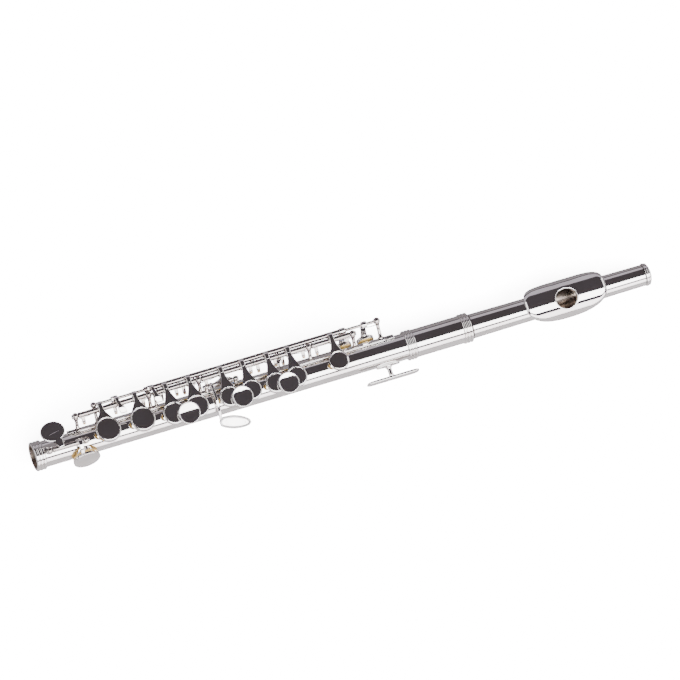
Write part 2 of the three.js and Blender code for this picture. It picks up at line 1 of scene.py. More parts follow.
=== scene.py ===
"""The looks of a silver-plated piccolo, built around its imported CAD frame.

Shapes are written in millimetres in the CAD frame and turned into metres when a mesh is made.
X runs from the foot to the crown, Z towards the key cups and Y towards the rods.
"""
from math import acos, asin, atan2, copysign, cos, degrees, hypot, pi, radians, sin, sqrt, tan

import bmesh
import bpy
from mathutils import Matrix, Vector

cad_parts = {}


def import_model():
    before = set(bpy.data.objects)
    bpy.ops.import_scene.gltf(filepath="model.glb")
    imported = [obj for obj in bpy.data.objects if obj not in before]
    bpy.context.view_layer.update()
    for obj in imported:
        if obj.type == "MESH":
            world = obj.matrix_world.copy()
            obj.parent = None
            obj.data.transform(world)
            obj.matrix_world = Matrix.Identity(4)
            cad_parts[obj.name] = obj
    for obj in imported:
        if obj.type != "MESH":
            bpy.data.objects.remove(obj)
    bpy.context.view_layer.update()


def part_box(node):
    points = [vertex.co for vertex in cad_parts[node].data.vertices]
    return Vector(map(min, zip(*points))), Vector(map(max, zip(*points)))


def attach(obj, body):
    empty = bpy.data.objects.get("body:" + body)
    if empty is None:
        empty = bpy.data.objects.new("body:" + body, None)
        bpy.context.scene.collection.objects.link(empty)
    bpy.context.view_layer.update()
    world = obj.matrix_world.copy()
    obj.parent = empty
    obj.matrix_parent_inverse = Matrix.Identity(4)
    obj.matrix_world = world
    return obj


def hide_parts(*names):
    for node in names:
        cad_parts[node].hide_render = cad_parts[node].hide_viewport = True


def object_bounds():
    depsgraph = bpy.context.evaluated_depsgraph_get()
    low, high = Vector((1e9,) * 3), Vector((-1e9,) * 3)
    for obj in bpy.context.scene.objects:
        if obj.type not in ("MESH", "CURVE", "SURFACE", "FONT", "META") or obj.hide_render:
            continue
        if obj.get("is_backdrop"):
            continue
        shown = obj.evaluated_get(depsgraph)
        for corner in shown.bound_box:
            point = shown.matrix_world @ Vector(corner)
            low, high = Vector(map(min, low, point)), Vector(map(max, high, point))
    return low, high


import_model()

MM = 0.001

# Tubes
TUBE_R = 6.5
BORE_R = 5.5
SOCKET_R = 6.3
BARREL_R = 6.95
BARREL_RING = 4.7
BEAD_R = 7.45
FOOT_BEAD_R = 7.35
HEAD_R_START = 6.12
HEAD_R_END = 5.32
HEAD_WALL = 0.6
BEADS = 3

# Rods: their places in the YZ plane
STACK = (11.3, 9.0)
TRILL = (14.4, 7.6)
D_SHARP = (-1.5, 9.5)
G_SHARP = (7.0, 7.7)
THUMB = (8.4, -6.6)
HINGE_R = 1.3
HINGE_BORE = 0.75
STEEL_R = 0.65
TRILL_ROD_R = 0.75
SCREW_R = 1.05
RIB_ANGLE = degrees(atan2(*STACK))
RIB_TOP = 7.5
RIB_WIDTH = 3.2

# Cups and pads, heights measured outwards from the chimney's rim
RIM = 7.5
TRILL_CUP_R = 4.5
G_SHARP_CUP_R = 4.6
THUMB_CUP_R = 5.2
D_SHARP_CUP_R = 6.8
D_SHARP_RIM = 7.05
PAD_LOW = 0.08
PAD_TOP = 1.6
CUP_TOP = 2.75
SKIRT = 0.25
TOUCH_BASE = 3.5
CHIMNEY_WALL = 0.55
CHIMNEY_INSET = 2.3
OPEN_ANGLE = 9
THUMB_OPEN_ANGLE = 8
FRONT = -10
BACK = 97
UNDER = 176
D_SHARP_PHI = -77

# Head joint
EMBOUCHURE_X = 274.4
ROLL = -13
LIP_TOP = 8.1
LIP_ARC_R = 11
LIP_THICKNESS = 0.9
LIP_HALF_WIDTH = 9.6
LIP_BACK_SQUARENESS = 5
LIP_FRONT_SQUARENESS = 2.4
HOLE_LONG = 5.4
HOLE_SHORT = 4.95
RISER_WALL = 0.7
CORK_R = 4.6
THREAD_PITCH = 0.5

# Stage, in metres and units of radiance
MIDDLE_X = 0.16
CAMERA_DISTANCE = 6.0
LIGHT_DISTANCE = 1.5
FLOOR_HALF = 4.0
FLOOR_GLOW = 6.0

# Key spans along the rods, cup angles and radii
STACK_KEYS = {
    "d": {"tube": (26.1, 46.0), "pads": ["d_pad"], "phi": 0, "radius": 6.3},
    "e": {"tube": (46.3, 60.3), "pads": ["e_pad"], "phi": 0, "radius": 6.2},
    "f": {"tube": (66.2, 77.4), "pads": ["f_pad"], "phi": FRONT, "radius": 5.7,
          "touch": {"x": 77.1, "side": 2.5, "radius": 5.5, "stems": [73.6], "lean": 10}},
    "f_sharp": {"tube": (77.7, 85.9), "pads": ["f_sharp_pad"], "phi": FRONT, "radius": 5.7},
    "g": {"tube": (89.3, 115.6), "pads": ["g_lower_pad", "g_upper_pad"], "phi": FRONT, "radius": 5.1,
          "touch": {"x": 104.6, "side": 2.4, "radius": 5.3, "stems": [102, 107.4]}},
    "a": {"tube": (115.9, 128.3), "pads": ["a_pad"], "phi": FRONT, "radius": 5.1,
          "touch": {"x": 128.4, "side": 2.4, "radius": 5.3, "stems": [125.6]}},
    "b_flat": {"tube": (128.6, 142.7), "pads": ["b_flat_pad"], "phi": FRONT, "radius": 5.1},
    "c": {"tube": (146.1, 165.5), "pads": ["c_pad"], "phi": 0, "radius": 4.85, "domed": True},
}

# Each post as the rod that it carries, its ball's radius, its foot's place off the rib's middle,
# and its angle where it stands on the tube instead
POSTS = {
    "lower_foot_post": (STACK, 1.75),
    "lower_middle_post": (STACK, 1.75),
    "lower_inner_post": (STACK, 1.1),
    "centre_post": (STACK, 1.75),
    "upper_middle_post": (STACK, 1.75),
    "upper_head_post": (STACK, 1.75),
    "trill_foot_post": (TRILL, 1.55, 0.9),
    "trill_head_post": (TRILL, 1.75, 0.9),
    "d_sharp_foot_post": (D_SHARP, 1.6, 0, -9),
    "d_sharp_head_post": (D_SHARP, 1.6, 0, -9),
    "g_sharp_foot_post": (G_SHARP, 1.3, -1.1),
    "g_sharp_head_post": (G_SHARP, 1.4, -0.9),
    "thumb_foot_post": (THUMB, 1.6, 0, 128),
    "thumb_head_post": (THUMB, 1.45, 0, 128),
}

# Segments round a circle
FINE = 128
ROUND = 64
SMALL = 28


# ---- materials ------------------------------------------------------------------------------------

def link(tree, source, target):
    tree.links.new(source, target)


def new_node(tree, kind, values):
    """A node with the given values on its inputs."""
    node = tree.nodes.new(kind)
    for name, value in values.items():
        node.inputs[name].default_value = value
    return node


def noise(tree, scale, stretch=(1, 1, 1), detail=4.0, roughness=0.55):
    """A noise value over the object's own coordinates in metres."""
    coordinates = new_node(tree, "ShaderNodeTexCoord", {})
    mapping = new_node(tree, "ShaderNodeMapping", {"Scale": stretch})
    values = {"Scale": scale, "Detail": detail, "Roughness": roughness}
    texture = new_node(tree, "ShaderNodeTexNoise", values)
    link(tree, coordinates.outputs["Object"], mapping.inputs["Vector"])
    link(tree, mapping.outputs["Vector"], texture.inputs["Vector"])
    return texture.outputs["Fac"]


def spread(tree, value, low, high, start=0.3, end=0.7):
    """The value's range from start to end, spread from low to high."""
    values = {"From Min": start, "From Max": end, "To Min": low, "To Max": high}
    node = new_node(tree, "ShaderNodeMapRange", values)
    link(tree, value, node.inputs["Value"])
    return node.outputs["Result"]


def colours(tree, value, first, second):
    node = tree.nodes.new("ShaderNodeMix")
    node.data_type = "RGBA"
    node.inputs["A"].default_value = (*first, 1)
    node.inputs["B"].default_value = (*second, 1)
    link(tree, value, node.inputs["Factor"])
    return node.outputs["Result"]


def bumps(tree, layers):
    """Bump layers as (height value, depth in metres), one on top of the other."""
    normal = None
    for height, depth in layers:
        node = new_node(tree, "ShaderNodeBump", {"Strength": 1.0, "Distance": depth})
        link(tree, height, node.inputs["Height"])
        if normal:
            link(tree, normal, node.inputs["Normal"])
        normal = node.outputs["Normal"]
    return normal


def new_material(name, metallic):
    material = bpy.data.materials.new(name)
    material.use_nodes = True
    shader = material.node_tree.nodes["Principled BSDF"]
    shader.inputs["Metallic"].default_value = metallic
    return material, material.node_tree, shader


def finished(tree, shader, colour, roughness, layers):
    """Feeds the shader its colour, its roughness and its bump layers."""
    link(tree, colour, shader.inputs["Base Color"])
    link(tree, roughness, shader.inputs["Roughness"])
    link(tree, bumps(tree, layers), shader.inputs["Normal"])


def metal(name, clean, tarnished, smooth, dull, stretch, depth):
    """Polished metal with faint tarnish, uneven polish and fine rubbing marks."""
    material, tree, shader = new_material(name, 1.0)
    patches = noise(tree, 55, detail=6, roughness=0.6)
    film = noise(tree, 320, detail=3)
    marks = noise(tree, 1, stretch=stretch, detail=5, roughness=0.7)
    waves = noise(tree, 70, detail=2)
    colour = colours(tree, spread(tree, patches, 0, 1, 0.42, 0.8), clean, tarnished)
    finished(tree, shader, colour, spread(tree, film, smooth, dull), [(marks, depth), (waves, depth * 10)])
    return material


def skin_material():
    """Golden fish skin stretched over felt, with fine wrinkles."""
    material, tree, shader = new_material("golden_skin", 0.0)
    patches = noise(tree, 900, detail=5)
    wrinkles = noise(tree, 2600, detail=4)
    colour = colours(tree, spread(tree, patches, 0, 1), (0.86, 0.62, 0.22), (0.62, 0.38, 0.10))
    finished(tree, shader, colour, spread(tree, wrinkles, 0.25, 0.5), [(wrinkles, 8e-5)])
    shader.inputs["Coat Weight"].default_value = 0.3
    return material


def cork_material():
    """Natural cork with dark pores."""
    material, tree, shader = new_material("natural_cork", 0.0)
    grains = noise(tree, 1500, detail=6)
    pores = noise(tree, 3500, detail=2)
    colour = colours(tree, spread(tree, grains, 0, 1), (0.62, 0.44, 0.27), (0.36, 0.22, 0.11))
    finished(tree, shader, colour, spread(tree, pores, 0.7, 0.95), [(pores, 1e-4)])
    return material


POLISHED = (250, 5200, 5200)
DRAWN = (300, 6000, 6000)
SILVER = metal("silver_plate", (0.915, 0.895, 0.885), (0.78, 0.735, 0.70), 0.03, 0.08, POLISHED, 3e-7)
BORE = metal("bore", (0.34, 0.29, 0.255), (0.15, 0.115, 0.09), 0.20, 0.42, (220, 3000, 3000), 6e-6)
# Nickel silver for hinge tubes, stop arms, the trill rod and posts, its colour darkened below the alloy's
# own tone as painted shade over the keywork
SHADED_NICKEL = metal("nickel_silver_painted_shade", (0.46, 0.42, 0.405), (0.26, 0.21, 0.185), 0.08, 0.16, POLISHED, 5e-7)
STEEL = metal("rod_steel", (0.44, 0.43, 0.44), (0.30, 0.28, 0.28), 0.12, 0.26, DRAWN, 6e-7)
BLUED = metal("blued_steel", (0.20, 0.23, 0.32), (0.12, 0.12, 0.16), 0.15, 0.3, DRAWN, 6e-7)
SKIN = skin_material()
CORK = cork_material()


# ---- shells: (vertices, faces) in millimetres ------------------------------------------------------

def around(count, start=0.0):
    """Angles evenly round a circle, the first at a share of a step."""
    return [2 * pi * (i + start) / count for i in range(count)]


def power(value, exponent):
    """A power that keeps the value's sign."""
    return copysign(abs(value) ** exponent, value)


def fillet(points, radius, steps=4, loop=False):
    """A line of points with its corners rounded off."""
    points = [Vector(p) for p in points]
    count = len(points)
    result = []
    for i, corner in enumerate(points):
        if not loop and i in (0, count - 1):
            result.append(corner)
            continue
        back = points[i - 1] - corner
        ahead = points[(i + 1) % count] - corner
        reach = min(radius, back.length * 0.45, ahead.length * 0.45)
        start = corner + back.normalized() * reach
        end = corner + ahead.normalized() * reach
        for k in range(steps + 1):
            t = k / steps
            result.append(start * (1 - t) ** 2 + corner * (2 * t * (1 - t)) + end * t ** 2)
    return result


def curve(points, steps):
    """Points along a smooth line through the given points."""
    points = [Vector(p) for p in points]
    padded = [points[0] * 2 - points[1], *points, points[-1] * 2 - points[-2]]
    spans = len(points) - 1
    line = []
    for k in range(steps + 1):
        at = k / steps * spans
        i = min(int(at), spans - 1)
        t = at - i
        a, b, c, d = padded[i:i + 4]
        line.append(0.5 * (2 * b + (c - a) * t + (2 * a - 5 * b + 4 * c - d) * t ** 2
                           + (3 * b - a - 3 * c + d) * t ** 3))
    return line


def rings_to_shell(rings, loop=False, caps=False):
    """Joins rings of points; a ring of one point is a pole."""
    verts = [p for ring in rings for p in ring]
    starts = [0]
    for ring in rings:
        starts.append(starts[-1] + len(ring))
    sides = max(len(ring) for ring in rings)
    pairs = list(zip(range(len(rings) - 1), range(1, len(rings))))
    if loop:
        pairs.append((len(rings) - 1, 0))
    faces = []
    for low, high in pairs:
        for i in range(sides):
            j = (i + 1) % sides
            corners = [
                starts[low] + i % len(rings[low]), starts[low] + j % len(rings[low]),
                starts[high] + j % len(rings[high]), starts[high] + i % len(rings[high]),
            ]
            faces.append(list(dict.fromkeys(corners)))
    if caps:
        faces.append([starts[0] + i for i in range(sides)])
        faces.append([starts[-2] + i for i in range(sides)])
    return verts, faces


def turned(profile, place, segments=ROUND, loop=False):
    """A turned shape from [height, radius] points about the place's own Z axis."""
    rings = []
    angles = around(segments)
    for height, radius in profile:
        if radius < 1e-6:
            rings.append([place @ Vector((0, 0, height))])
            continue
        rings.append([place @ Vector((radius * cos(a), radius * sin(a), height)) for a in angles])
    return rings_to_shell(rings, loop=loop)


def sleeve(x0, x1, outer, inner, axis, edge=0.25, segments=SMALL):
    """A tube along X on an axis, with rounded edges."""
    profile = fillet([(x0, outer), (x1, outer), (x1, inner), (x0, inner)], edge, loop=True)
    return turned(profile, along_x(axis), segments, loop=True)


def solid_rod(x0, x1, radius, axis, edge):
    """A solid rod along X on an axis, with rounded ends."""
    return turned(fillet([(x0, 0), (x0, radius), (x1, radius), (x1, 0)], edge), along_x(axis), SMALL)


def sweep(line, halves, heights, across=(1, 0, 0), bow=None, sides=24, squareness=4.0):
    """A bar with a rounded rectangular section along a line. bow(share, side) moves a point on along it."""
    rings = []
    count = len(line)
    across = Vector(across).normalized()
    for k, centre in enumerate(line):
        share = k / (count - 1)
        ahead = (line[min(k + 1, count - 1)] - line[max(k - 1, 0)]).normalized()
        up = across.cross(ahead).normalized()
        half = halves(share) if callable(halves) else halves
        height = heights(share) if callable(heights) else heights
        ring = []
        for turn in around(sides, 0.5):
            a = power(cos(turn), 2 / squareness)
            b = power(sin(turn), 2 / squareness)
            onward = bow(share, a * half) if bow else 0.0
            ring.append(centre + across * (a * half) + up * (b * height) + ahead * onward)
        rings.append(ring)
    first, last = rings[0], rings[-1]
    rings.insert(0, shrunk(first, line[0] - (line[1] - line[0]).normalized() * 0.15, 0.8))
    tail = (line[-1] - line[-2]).normalized() * 0.15
    rings.append(shrunk(last, sum(last, Vector()) / sides + tail, 0.8))
    return rings_to_shell(rings, caps=True)


def bar(x, axis, offsets, steps, halves, heights, **section):
    """A bar swept along a smooth line through points given from the axis at X."""
    start = Vector((x, *axis))
    line = curve([start + Vector(offset) for offset in offsets], steps)
    return sweep(line, halves, heights, **section)


def shrunk(ring, centre, share):
    """The ring scaled about its own middle, and moved so that its middle is the given centre."""
    middle = sum(ring, Vector()) / len(ring)
    return [centre + (p - middle) * share for p in ring]


def dished(outline, place, thickness, depth, edge=0.3, bevel=None):
    """A plate with rounded edges and a hollowed top, from an outline of [x, y] points round its middle.

    edge is the drop of the rounded edge and bevel how far it reaches in from the outline.
    """
    outline = [Vector((x, y)) for x, y in outline]
    middle = sum(outline, Vector((0, 0))) / len(outline)
    reach = min((p - middle).length for p in outline)
    top = thickness / 2
    inner = 1 - (bevel or edge) / reach
    shares = (0.2, 0.4, 0.6, 0.75, 0.88, inner)
    levels = [(share, top - depth * (1 - (share / inner) ** 2)) for share in shares]
    for k in range(1, 5):
        turn = pi / 2 * k / 4
        levels.append((inner + (1 - inner) * sin(turn), top - edge * (1 - cos(turn))))
    low = [(inner + (1 - inner) * cos(t), -top + edge * (1 - sin(t)))
           for t in (pi / 8, pi / 4, pi * 3 / 8, pi / 2)]
    levels += [*low, (inner * 0.5, -top)]
    rings = [[place @ Vector((*middle, top - depth))]]
    for share, height in levels:
        rings.append([place @ Vector((*(middle + (p - middle) * share), height)) for p in outline])
    rings.append([place @ Vector((*middle, -top))])
    return rings_to_shell(rings)


def rolled_rim(outline, place, radius, sides=14):
    """A round bead that follows a closed outline of [x, y] points."""
    points = [Vector((x, y, 0)) for x, y in outline]
    rings = []
    for i, point in enumerate(points):
        ahead = (points[(i + 1) % len(points)] - points[i - 1]).normalized()
        out = Vector((ahead.y, -ahead.x, 0))
        ring = []
        for turn in around(sides):
            away = out * cos(turn) + Vector((0, 0, sin(turn)))
            ring.append(place @ (point + away * radius))
        rings.append(ring)
    return rings_to_shell(rings, loop=True)


def collar(place, radii, wall, foot, root, top, flare=0.45, segments=ROUND):
    """A wall round an oval hole. foot, root and top give its outer and inner foot and its top at a side."""
    levels = [
        (flare, foot, -0.1), (flare * 0.4, foot, 0.12), (0, foot, 0.4), (0, top, -0.14), (-0.12, top, -0.02),
        (-wall / 2, top, 0), (-wall + 0.12, top, -0.02), (-wall, top, -0.14), (-wall, root, 0),
    ]
    rings = []
    for turn in around(segments):
        ring = []
        for grow, level, lift in levels:
            side = (radii[1] + grow) * sin(turn)
            ring.append(place @ Vector(((radii[0] + grow) * cos(turn), side, level(side) + lift)))
        rings.append(ring)
    return rings_to_shell(rings, loop=True)


def merged(shells):
    verts, faces = [], []
    for shell_verts, shell_faces in shells:
        offset = len(verts)
        verts += shell_verts
        faces += [[i + offset for i in face] for face in shell_faces]
    return verts, faces


# ---- places ---------------------------------------------------------------------------------------

def along_x(axis=(0, 0)):
    """Local Z runs along X on the rod or tube with this axis."""
    return Matrix(((0, 0, 1, 0), (1, 0, 0, axis[0]), (0, 1, 0, axis[1]), (0, 0, 0, 1)))


def standing(x, phi, height=0, side=0):
    """Local Z points outwards at the angle phi from +Z towards +Y, and local X runs along X."""
    s, c = sin(radians(phi)), cos(radians(phi))
    up = Vector((0, s, c))
    across = Vector((0, c, -s))
    place = Matrix(((1, 0, 0), across, up)).transposed().to_4x4()
    place.translation = Vector((x, 0, 0)) + up * height - across * side
    return place


def turned_about(axis, angle):
    """A turn about a rod."""
    centre = Vector((0, *axis))
    turn = Matrix.Rotation(radians(angle), 4, "X")
    return Matrix.Translation(centre) @ turn @ Matrix.Translation(-centre)


STACK_OPEN = turned_about(STACK, -OPEN_ANGLE)
THUMB_OPEN = turned_about(THUMB, THUMB_OPEN_ANGLE)
FLIPPED = Matrix.Rotation(pi, 4, "X")
REST = Matrix.Identity(4)


def middle_x(node):
    low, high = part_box(node)
    return (low.x + high.x) / 2 / MM


def span_x(node):
    low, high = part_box(node)
    return low.x / MM, high.x / MM


# ---- making objects -------------------------------------------------------------------------------

def placed(name, data, place=REST):
    """A new object in the scene, at a place in metres."""
    obj = bpy.data.objects.new(name, data)
    bpy.context.scene.collection.objects.link(obj)
    obj.matrix_world = place
    return obj


def make(name, shells, material, body, nodes=(), sharp=38, place=REST):
    """An object from shells with its material: it rides a body and hides the CAD nodes that it stands for.
    """
    verts, faces = merged(shells)
    mesh = bpy.data.meshes.new(name)
    mesh.from_pydata([(place @ Vector(v)) * MM for v in verts], [], faces)
    tidy = bmesh.new()
    tidy.from_mesh(mesh)
    bmesh.ops.remove_doubles(tidy, verts=tidy.verts, dist=1e-7)
    bmesh.ops.recalc_face_normals(tidy, faces=tidy.faces)
    tidy.to_mesh(mesh)
    tidy.free()
    mesh.materials.append(material)
    mesh.shade_smooth()
    mesh.set_sharp_from_angle(angle=radians(sharp))
    obj = placed(name, mesh)
    if body:
        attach(obj, body)
    if nodes:
        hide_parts(*nodes)
    return obj


def silver(node, shells, body, place=REST, sharp=38):
    """A silver plated piece that stands for one CAD node."""
    return make(f"{node}_silver", shells, SILVER, body, [node], sharp, place)


def cut(obj, shells):
    """Cuts the shells out of the object's mesh."""
    tool = make("cutter", shells, BORE, None)
    change = obj.modifiers.new("cut", "BOOLEAN")
    change.operation = "DIFFERENCE"
    change.solver = "EXACT"
    change.object = tool
    bpy.context.view_layer.update()
    graph = bpy.context.evaluated_depsgraph_get()
    mesh = bpy.data.meshes.new_from_object(obj.evaluated_get(graph))
    obj.modifiers.clear()
    obj.data = mesh
    bpy.data.objects.remove(tool)
    mesh.shade_smooth()
    mesh.set_sharp_from_angle(angle=radians(38))


def line_inside(obj, within):
    """Gives the bore's finish to the faces whose middle, in millimetres, is within."""
    mesh = obj.data
    if len(mesh.materials) < 2:
        mesh.materials.append(BORE)
    for face in mesh.polygons:
        if within(face.center / MM):
            face.material_index = 1


def nearer_than(radius):
    """Tells whether a point is nearer to the tube's axis than the radius."""
    return lambda at: hypot(at.y, at.z) < radius


# ---- keys -----------------------------------------------------------------------------------------

def hinge_tube(name, x0, x1, axis, radius=HINGE_R, bore=HINGE_BORE, place=REST):
    """A key's hinge tube with a small collar at each end."""
    collar_r = radius + 0.14
    profile = fillet([
        (x0, collar_r), (x0 + 0.7, collar_r), (x0 + 0.85, radius), (x1 - 0.85, radius), (x1 - 0.7, collar_r),
        (x1, collar_r), (x1, bore), (x0, bore),
    ], 0.12, loop=True)
    shell = turned(profile, along_x(axis), SMALL, loop=True)
    make(f"{name}_hinge_tube", [shell], SHADED_NICKEL, name, place=place)


def cup(x, phi, radius, rim=RIM, domed=False, skirt=SKIRT):
    """A pad cup as a thin shell: flat with a raised ring, or domed."""
    wall = [(2.2, radius), (skirt, radius), (skirt, radius - 0.45), (PAD_TOP + 0.15, radius - 0.5)]
    if domed:
        shares = (0.15, 0.35, 0.55, 0.7, 0.82)
        dome = [(CUP_TOP + 0.2 - 0.55 * share ** 2, radius * share) for share in shares]
        top = [(CUP_TOP + 0.2, 0), *dome, (CUP_TOP - 0.4, radius - 0.25)]
    else:
        shares = (0.2, 0.4, 0.6, 0.8, 1)
        dish = [(CUP_TOP - 0.22 + 0.03 * share ** 2, (radius - 0.75) * share) for share in shares]
        ring = [(CUP_TOP - 0.06, radius - 0.7), (CUP_TOP, radius - 0.55), (CUP_TOP - 0.1, radius - 0.3),
                (CUP_TOP - 0.32, radius - 0.1), (CUP_TOP - 0.7, radius)]
        top = [(CUP_TOP - 0.22, 0), *dish, *ring]
    profile = fillet([*top, *wall, (PAD_TOP + 0.15, 0)], 0.14, steps=3)
    return turned(profile, standing(x, phi, rim), ROUND)


def pad(name, body, x, phi, radius, rim=RIM, place=REST, top=PAD_TOP):
    """A pad: skin over felt, a little crowned, with the chimney's print round it."""
    edge = radius - 0.6
    print_r = radius - CHIMNEY_INSET + 0.3
    profile = [
        (PAD_LOW, 0), (PAD_LOW + 0.02, print_r * 0.6), (PAD_LOW + 0.04, print_r - 0.5),
        (PAD_LOW + 0.16, print_r - 0.15), (PAD_LOW + 0.16, print_r + 0.15), (PAD_LOW + 0.03, print_r + 0.5),
        (PAD_LOW + 0.06, edge - 0.45), (PAD_LOW + 0.3, edge - 0.08), (PAD_LOW + 0.7, edge),
        (top, edge - 0.05), (top, 0),
    ]
    shell = turned(fillet(profile, 0.2, steps=2), standing(x, phi, rim), ROUND)
    obj = make(f"{name}_skin", [shell], SKIN, body, [name], place=place)
    return obj


def stack_arm(x, phi, radius):
    """The arm from the stack's rod: a narrow bridge over it that flares to follow the cup's rim."""
    y, z = STACK
    reach = radius - 0.15
    end = standing(x, phi, RIM + CUP_TOP - 0.5) @ Vector((0, reach, 0))
    line = curve([
        (x, y + 2.75, z + 1.4), (x, y + 2.1, z + 2.05), (x, y + 0.7, z + 2.25), (x, y - 1.2, z + 2.05),
        (x, (y - 1.2) * 0.5 + end.y * 0.5, (z + 2.05) * 0.48 + end.z * 0.52), end,
    ], 26)
    narrow = 1.05
    wide = radius * 0.7

    def half(share):
        return narrow + 0.35 * (1 - share) ** 3 + (wide - narrow) * max(0.0, (share - 0.5) / 0.5) ** 2.3

    def bow(share, side):
        amount = max(0.0, (share - 0.55) / 0.45) ** 2
        return amount * (reach - sqrt(max(reach ** 2 - side ** 2, 0)))

    arm = sweep(line, half, lambda share: 0.66 - 0.14 * share, bow=bow, sides=40)
    web_line = [Vector((x, y + 0.1, z + h)) for h in (0.4, 1.4, 2.6)]
    web = sweep(web_line, 0.95, lambda share: 1.3 - 0.2 * share)
    return [arm, web, sleeve(x - 1.25, x + 1.25, 1.72, 0.9, STACK)]


def stop_arms(name, tube, place=REST):
    """Two stop arms below a stack key's hinge tube, each with a cork foot."""
    y, z = STACK
    length = hypot(y, z)
    inward = Vector((0, -y / length, -z / length))
    low_x, high_x = tube
    shells = []
    corks = []
    for at, reach in ((low_x + 1.9, 4.3), (high_x - 1.6, 3.9)):
        root = Vector((at, y, z))
        line = [root + inward * share * reach for share in (0.25, 0.5, 0.75, 1)]
        shells.append(sweep(line, 0.85, 0.45, squareness=5))
        tip = root + inward * (reach + 0.25)
        corks.append(sweep([tip - inward * 0.3, tip, tip + inward * 0.4], 0.7, 0.5, squareness=5))
    make(f"{name}_stop_arms", shells, SHADED_NICKEL, name, place=place)
    make(f"{name}_stop_corks", corks, CORK, name, place=place)


def raised_touch(x, side, radius, stems, lean=3):
    """The finger plate above its cups, with a dished top and a rolled edge, on short stems."""
    top = 1.35
    shares = (0.12, 0.25, 0.4, 0.55, 0.7, 0.85, 1)
    dish = [(0.45 + 0.74 * share ** 2, (radius - 0.5) * share) for share in shares]
    profile = [
        (0.45, 0), *dish, (top - 0.04, radius - 0.44), (top, radius - 0.32), (top - 0.12, radius - 0.12),
        (top - 0.45, radius), (0.6, radius - 0.2), (0.2, radius - 1.3), (0, radius - 2.6), (0, 0),
    ]
    place = standing(x, FRONT, RIM + TOUCH_BASE, side) @ Matrix.Rotation(radians(lean), 4, "X")
    plate = turned(fillet(profile, 0.1, steps=2), place, ROUND)
    stem = [(2.0, 1.6), (2.5, 1.25), (3.2, 1.2), (TOUCH_BASE + 0.3, 1.7), (TOUCH_BASE + 0.3, 0)]
    legs = [turned([(2.0, 0), *stem], standing(at, FRONT, RIM, side / 2), SMALL) for at in stems]
    return [plate, *legs]


def stack_key(name, tube, pads, phi, radius, domed=False, touch=None):
    """A key of the main stack: a cup and an arm for each pad, and its touch if it has one."""
    body = f"{name}_key"
    shells = []
    hinge_tube(body, *tube, STACK, place=STACK_OPEN)
    stop_arms(body, tube, STACK_OPEN)
    for node in pads:
        x = middle_x(node)
        shells += stack_arm(x, phi, radius)
        shells.append(cup(x, phi, radius, domed=domed))
        pad(node, body, x, phi, radius, place=STACK_OPEN)
    if touch:
        shells += raised_touch(**touch)
    silver(body, shells, body, STACK_OPEN)


def trill_key(name, touch_x):
    """A trill key: its cup on the back and a small leaf that reaches over the stack's rod."""
    node = f"{name}_pad"
    body = f"{name}_key"
    cup_x = middle_x(node)

    def half(share):
        leaf = max(0.0, (share - 0.68) / 0.32)
        root = max(0.0, 0.45 - share) / 0.45
        return 0.85 + 0.95 * sin(pi * min(leaf, 0.72)) + 0.75 * root

    offsets = [(0, 0.9, 0.4), (0, 0.5, 2.6), (0.1, -0.6, 4.2), (0.5, -3.4, 4.7), (1.2, -6.4, 4.2),
               (1.8, -8.6, 3.2)]
    leaf = bar(touch_x, TRILL, offsets, 24, half, lambda share: 0.5 - 0.12 * share, sides=28, squareness=5)
    offsets = [(0, 0.5, 0), (0, 0.2, -3.4), (0, -2.6, -6.6), (0, -4.2, -8.8)]
    arm = bar(cup_x, TRILL, offsets, 16, lambda share: 1.0 + 0.7 * share, 0.55)
    ring = sleeve(cup_x - 1.3, cup_x + 1.3, 1.6, 0.7, TRILL)
    boss = sleeve(touch_x - 1.6, touch_x + 1.6, 1.55, 0.7, TRILL)
    bowl = cup(cup_x, BACK, TRILL_CUP_R - 0.2, domed=True, skirt=0.6)
    silver(body, [leaf, arm, ring, boss, bowl], body)
    pad(node, body, cup_x, BACK, TRILL_CUP_R)


def trill_keys():
    """The D trill key turns on the D sharp trill key's long rod."""
    rod = solid_rod(34.2, 181.4, TRILL_ROD_R, TRILL, 0.15)
    make("d_sharp_trill_rod", [rod], SHADED_NICKEL, "d_sharp_trill_key")
    trill_key("d_sharp_trill", 45.6)
    hinge_tube("d_trill_key", 61.0, 164.8, TRILL, bore=0.95)
    trill_key("d_trill", 64.0)


def oval(half_x, half_y):
    return [(half_x * cos(a), half_y * sin(a)) for a in around(ROUND)]


def foot_key():
    """The little finger's key at the foot: a see-saw from its touch over the hinge to the front cup."""
    body = "d_sharp_key"
    touch_x = 11
    cup_x = middle_x("d_sharp_pad")
    plate = dished(oval(6.1, 5.0), Matrix.Translation((touch_x, 7.0, D_SHARP[1] + 0.85)), 1.1, 0.22, 0.35)
    offsets = [(0.3, 7.5, 0.8), (0.9, 4.5, 0.85), (1.6, 2.4, 1.0), (2.1, 0.2, 0.9)]
    neck = bar(touch_x, D_SHARP, offsets, 18, lambda share: 3.9 - 2.5 * min(1.0, share * 1.1) ** 0.7, 0.5,
               across=(1, 0.2, 0), sides=28, squareness=5)
    offsets = [(0, 1.1, 0.5), (0, -0.6, 1.6), (0, -4.2, 0.3), (0, -7.0, -3.6), (0, -8.3, -7.6),
               (0, -8.6, -12.0)]
    arm = bar(22.2, D_SHARP, offsets, 26, lambda share: 1.9 - sin(pi * min(share * 1.3, 1)), 0.6,
              sides=28, squareness=5)
    hinge_tube(body, 8.6, 23.7, D_SHARP)
    bowl = cup(cup_x, D_SHARP_PHI, D_SHARP_CUP_R, D_SHARP_RIM + 0.5, domed=True, skirt=1.0)
    silver(body, [plate, neck, arm, bowl], body)
    pad("d_sharp_pad", body, cup_x, D_SHARP_PHI, D_SHARP_CUP_R + 0.35, D_SHARP_RIM, top=PAD_TOP + 0.4)


